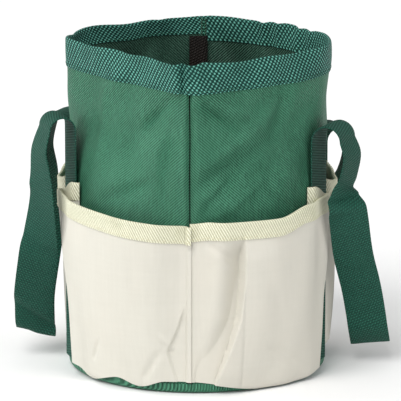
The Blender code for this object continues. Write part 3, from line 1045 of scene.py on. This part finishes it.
def leg_and_fold(side, forward, fold_height, fold_radius):
    """Up one leg and over its fold: points and width directions."""
    turn = math.radians(LEG_ANGLE)
    across = np.array([side * math.cos(turn), -forward * math.sin(turn), 0])
    out = leg_out(side, forward)
    leg, fold = [], []
    for height in np.linspace(LEG_FOOT, fold_height, LEG_STEPS):
        leg.append(join([out * LEG_RADIUS + [0, 0, height], across]))
    for bend in np.linspace(0, math.pi, FOLD_STEPS):
        reach = LEG_RADIUS + fold_radius * (1 - math.cos(bend))
        height = fold_height + fold_radius * math.sin(bend)
        fold.append(join([out * reach + [0, 0, height], across]))
    return leg, fold


def strap_stations(side, folds, rear_shift, strand, bend):
    """The five parts of a strap, from the foot of its front leg to the foot of its rear leg."""
    front_leg, front_fold = leg_and_fold(side, -1, *folds[0])
    rear_leg, rear_fold = leg_and_fold(side, 1, *folds[1])
    front, rear = [], []
    for outward, forward, height, facing in strand:
        face = math.radians(facing)
        a, b = side * math.cos(face), math.sin(face)
        front.append((side * outward, -forward, height, a, b, 0))
        outward += rear_shift * forward
        rear.append((side * outward, forward, height - REAR_DROP * forward, a, -b, 0))
    outward, height, tilt = bend
    tilt = math.radians(tilt)
    bottom = (side * outward, 0, height, side * math.cos(tilt), 0, math.sin(tilt))
    places = [front_fold[-1], *front[1:], bottom, *rear[:0:-1], rear_fold[-1]]
    loop = spline(places, SPAN_STEPS)
    parts = (front_leg, front_fold, loop, rear_fold[::-1], rear_leg[::-1])
    return [np.array(part) for part in parts]


def strap_frames(stations):
    """Centre points with width directions made square to the strap's run, and its normals."""
    centres = stations[:, :3]
    along = unit(np.gradient(centres, axis=0))
    across = stations[:, 3:]
    across = unit(across - (across * along).sum(1, keepdims=True) * along)
    return centres, across, np.cross(along, across)


def strap_creases(side_name, centres, travelled, share):
    """How far the loop leaves its plain run: facets and tucks set in by handling."""
    y = share * STRAP_WIDTH / 2
    past_fold = FOLD_END + 1
    lowest = int(np.argmin(centres[past_fold:-past_fold, 2])) + past_fold
    first = FOLD_END + 10

    def past(height, lean):
        """Distance along the strap past a leaning line at one height of the front strand."""
        index = int(np.argmin(np.abs(centres[first:lowest, 2] - height))) + first
        return travelled[:, None] - travelled[index] - lean * y

    found = 0
    for height, lean, depth, run in STRAP_TURNS[side_name]:
        x = past(height, lean)
        facet = np.clip(x / run, 0, 1) * (1 - ramp(x, run, 3.5 * run))
        found = found + depth * facet
    for height, lean, depth, width in STRAP_TUCKS[side_name]:
        found = found + depth * bump(past(height, lean), 0, width)
    return found


def add_strap(side_name, side, folds, rear_shift, strand, bend):
    """One strap of webbing, in pieces that ride on different bodies but meet edge to edge."""
    parts = strap_stations(side, folds, rear_shift, strand, bend)
    whole = [parts[0]] + [part[1:] for part in parts[1:]]
    ends = np.cumsum([0] + [len(part) for part in whole])
    centres, across, normals = strap_frames(join(whole))
    travelled = distance_along(centres)
    share = np.linspace(-1, 1, 13)
    points = centres[:, None] + across[:, None] * (share * STRAP_WIDTH / 2)[None, :, None]
    loose = ramp(travelled, travelled[FOLD_END], travelled[LOOSE_END])
    loose = loose * (1 - ramp(travelled, travelled[-LOOSE_END], travelled[-FOLD_END]))
    sway = 0.0005 * np.sin(travelled * 70) + 0.0004 * np.sin(travelled * 31 + 1)
    cup = 0.0006 * np.sin(travelled * 24 + 0.6)
    bow = cup[:, None] * (1 - share ** 2) + sway[:, None]
    bow = (bow + strap_creases(side_name, centres, travelled, share)) * loose[:, None]
    points = points + normals[:, None] * bow[..., None]
    thick = STRAP_THICK * (1 - 0.45 * np.abs(share) ** 8)
    half = grid_normals(points) * thick[None, :, None] / 2
    outer, inner = points + half, points - half
    lengths = np.meshgrid(travelled, (share + 1) * STRAP_WIDTH / 2, indexing="ij")
    uv = np.stack(lengths, axis=-1)
    for index, (name, node, held, support) in enumerate(STRAP_PIECES):
        cut = slice(max(ends[index] - 1, 0), ends[index + 1])
        title = f"{side_name}_{name}_webbing"
        piece = add_cloth(title, outer[cut], inner[cut], [STRAP], uv[cut])
        if name == "loop":
            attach(piece, f"{side_name}_handle")
        elif name.endswith("leg"):
            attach(piece, "root")
        else:
            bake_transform(piece)
        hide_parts(node.format(side_name))


# --- The studio


FLOOR_HALF = 6
FLOOR_GAP = 0.0004
CAMERA_TURN = 3.13
CAMERA_DISTANCE = 3
CAMERA_HEIGHT = 0.8152
CAMERA_LENS = 362.85
AIM_RIGHT = 0.0027
AIM_HEIGHT = 0.1252
MIDDLE = (0, 0, 0.13)


def turn_to(thing, line):
    thing.rotation_euler = Vector(line).to_track_quat("-Z", "Y").to_euler()


def new_light(name, kind, energy, tint):
    data = bpy.data.lights.new(name, kind)
    data.energy = energy
    data.color = tint
    return new_object(name, data)


def add_area_light(name, place, size, energy, tint):
    light = new_light(name, "AREA", energy, tint)
    light.data.shape = "DISK"
    light.data.size = size
    light.location = place
    turn_to(light, Vector(MIDDLE) - Vector(place))


def add_studio():
    """A pale floor, a soft light from the front left with two fills, and the camera."""
    h = FLOOR_HALF
    corners = [(-h, -h, 0), (h, -h, 0), (h, h, 0), (-h, h, 0)]
    paint = bpy.data.materials.new("pale_floor")
    paint.use_nodes = True
    shader = paint.node_tree.nodes["Principled BSDF"]
    shader.inputs["Base Color"].default_value = (0.9, 0.9, 0.9, 1)
    shader.inputs["Roughness"].default_value = 0.9
    floor = new_mesh_object("floor", corners, [(0, 1, 2, 3)], [paint])
    floor.location = (0, 0, -FLOOR_GAP)

    world = bpy.data.worlds.new("studio")
    world.use_nodes = True
    sky = world.node_tree.nodes["Background"]
    sky.inputs["Color"].default_value = (1, 1, 1, 1)
    sky.inputs["Strength"].default_value = 0.62
    bpy.context.scene.world = world
    key = new_light("key", "SUN", 2.1, (1, 0.995, 0.985))
    key.data.angle = math.radians(38)
    turn_to(key, (0.5, 0.95, -1.15))
    add_area_light("fill", (1.3, -1.6, 0.9), 1.2, 6.5, (0.98, 0.99, 1))
    add_area_light("side", (-1.9, 0.2, 0.45), 0.9, 13, (0.97, 1, 1))

    lens = bpy.data.cameras.new("camera")
    lens.sensor_width = 36
    lens.lens = CAMERA_LENS
    lens.clip_end = 50
    camera = new_object("camera", lens)
    right = Vector((math.cos(math.radians(CAMERA_TURN)), math.sin(math.radians(CAMERA_TURN)), 0))
    up = Vector((0, 0, 1))
    camera.location = right.cross(up) * CAMERA_DISTANCE + up * CAMERA_HEIGHT
    turn_to(camera, right * AIM_RIGHT + up * AIM_HEIGHT - camera.location)
    bpy.context.scene.camera = camera
    bpy.context.scene.view_settings.view_transform = "Standard"


add_shell()
add_rim()
add_tapes()
add_base()
for pocket_key in ("front_left", "front_right", "rear_left", "rear_right"):
    add_large_pocket(pocket_key)
for pocket_side in ("left", "right"):
    add_side_pocket(pocket_side)
add_strap("left", -1, LEFT_FOLDS, LEFT_REAR_SHIFT, LEFT_STRAND, LEFT_BEND)
add_strap("right", 1, RIGHT_FOLDS, RIGHT_REAR_SHIFT, RIGHT_STRAND, RIGHT_BEND)
add_studio()

bpy.context.view_layer.update()
